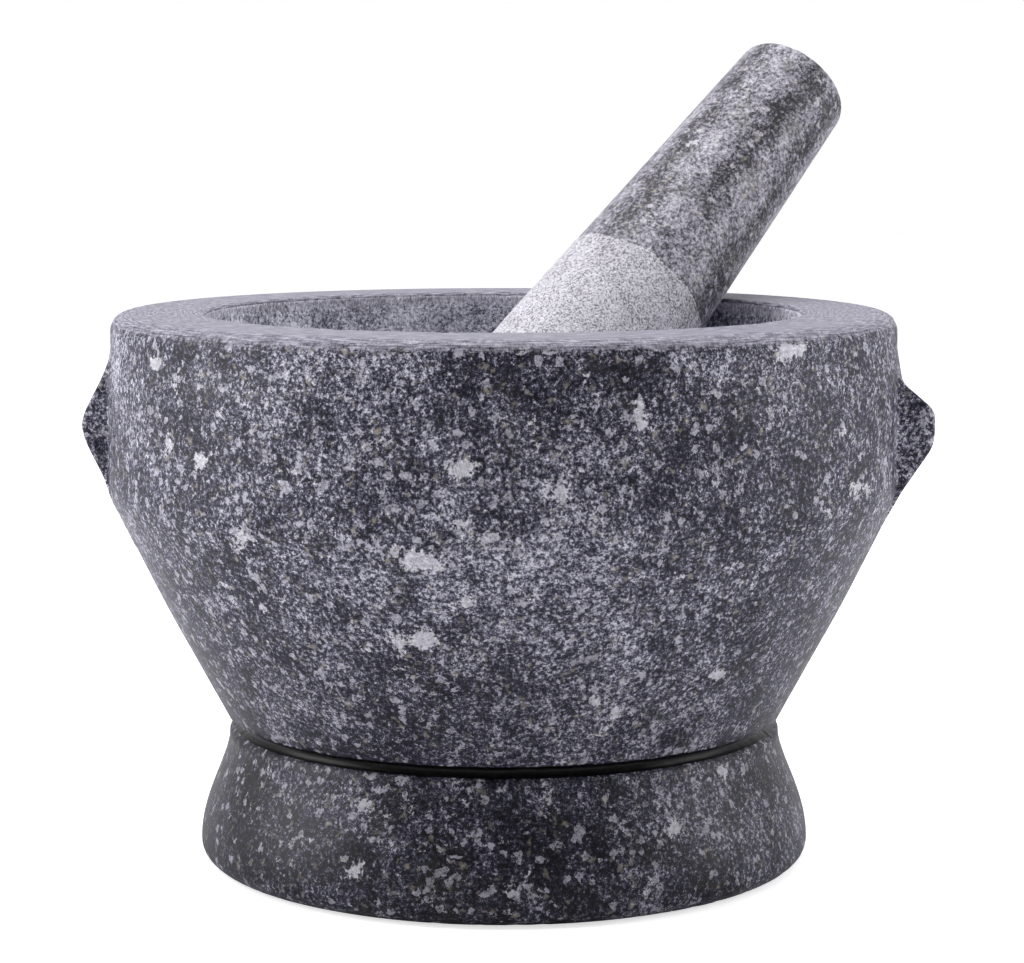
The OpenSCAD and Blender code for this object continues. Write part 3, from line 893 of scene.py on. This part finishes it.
for finish in (turnedGranite(darkGranite), polishedGroove(polishedBlack), rubbedBowl(bowlGranite)):
    mortarStone.data.materials.append(finish)
pestleStone.data.materials.append(pestleStoneFinish(pestleGranite, pestleShape, headCentre))
print("materials done")

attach(mortarStone, "mortar")
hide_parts("mortar")
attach(pestleStone, "pestle")
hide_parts("pestle")

# The studio: a white table, a soft box on each side and one overhead. The room is brighter behind
# the stone than in front of it, and the table shows a little whiter than it shines. Each soft box has
# its place, width, height and power.
studio = {
    "floorSize": 8.0,
    "floorColour": "#e4e4e7",
    "floorLift": 0.64,
    "roomFront": 0.22,
    "roomBack": 0.75,
    "target": (0, 0, 0.09),
    "softBoxes": {
        "softBoxLeft": ((-1.0, -0.14, 0.50), 0.7, 0.9, 10.5),
        "softBoxRight": ((1.0, -0.05, 0.45), 0.6, 0.9, 5.5),
        "softBoxTop": ((0.0, 0.05, 1.1), 1.0, 1.0, 12),
    },
}


def buildFloor(look):
    half = look["floorSize"] / 2
    mesh = bpy.data.meshes.new("studioFloor")
    corners = [(-half, -half, 0), (half, -half, 0), (half, half, 0), (-half, half, 0)]
    mesh.from_pydata(corners, [], [(0, 1, 2, 3)])
    floor = bpy.data.objects.new("studioFloor", mesh)
    bpy.context.collection.objects.link(floor)
    material, tree, shader = newMaterial("matPaperFloor", roughness=0.9, specular=0.1)
    shader.inputs["Base Color"].default_value = linearHex(look["floorColour"])
    seen = addNode(tree, "ShaderNodeLightPath").outputs["Is Camera Ray"]
    shine = addNode(tree, "ShaderNodeMath", {0: seen, 1: look["floorLift"]}, operation="MULTIPLY")
    shader.inputs["Emission Color"].default_value = (1, 1, 1, 1)
    tree.links.new(shine.outputs[0], shader.inputs["Emission Strength"])
    mesh.materials.append(material)


# A soft box is an area light turned so that its face looks at the target.
def addSoftBox(name, place, width, height, power, target):
    data = bpy.data.lights.new(name, "AREA")
    data.shape, data.size, data.size_y, data.energy = "RECTANGLE", width, height, power
    lamp = bpy.data.objects.new(name, data)
    aim = np.array(target, float) - np.array(place, float)
    lamp.location = place
    tip = math.acos(-aim[2] / np.linalg.norm(aim))
    lamp.rotation_euler = (tip, 0, math.atan2(aim[1], aim[0]) - math.pi / 2)
    bpy.context.collection.objects.link(lamp)


# The room's light changes from front to back, and what is seen of it is plain white.
def buildRoom(look):
    world = bpy.data.worlds.new("studioWorld")
    world.use_nodes = True
    tree = world.node_tree
    tree.nodes.clear()
    way = addNode(tree, "ShaderNodeTexCoord").outputs["Generated"]
    way = addNode(tree, "ShaderNodeSeparateXYZ", {0: way})
    light = addNode(tree, "ShaderNodeMapRange", {"Value": way.outputs["Y"], "From Min": -0.5, "From Max": 0.7,
                                                 "To Min": look["roomFront"], "To Max": look["roomBack"]})
    room = addNode(tree, "ShaderNodeBackground", {"Color": (1, 1, 1, 1), "Strength": light})
    white = addNode(tree, "ShaderNodeBackground", {"Color": (1, 1, 1, 1), "Strength": 1.0})
    seen = addNode(tree, "ShaderNodeLightPath").outputs["Is Camera Ray"]
    both = addNode(tree, "ShaderNodeMixShader", {0: seen, 1: room, 2: white})
    addNode(tree, "ShaderNodeOutputWorld", {"Surface": both})
    bpy.context.scene.world = world


buildFloor(studio)
buildRoom(studio)
for boxName, (place, width, height, power) in studio["softBoxes"].items():
    addSoftBox(boxName, place, width, height, power, studio["target"])
bpy.context.scene.view_settings.view_transform = "Standard"

# The camera: its turn round the stone, how far it looks down and aside in degrees, and its distance
# and height in millimetres.
view = {
    "turn": 1.5,
    "distance": 742.2,
    "height": 190.3,
    "down": 7.2,
    "aside": 0.16,
    "focalInWidths": 2.837,
    "sensorWidth": 36.0,
}
cameraData = bpy.data.cameras.new("camera")
cameraData.sensor_width = view["sensorWidth"]
cameraData.lens = view["sensorWidth"] * view["focalInWidths"]
cameraData.clip_start = 0.05
camera = bpy.data.objects.new("camera", cameraData)
turn = math.radians(view["turn"])
away = view["distance"] * mm
camera.location = (away * math.sin(turn), -away * math.cos(turn), view["height"] * mm)
camera.rotation_euler = (math.radians(90 - view["down"]), 0, turn - math.radians(view["aside"]))
bpy.context.collection.objects.link(camera)
bpy.context.scene.camera = camera
print("studio done")
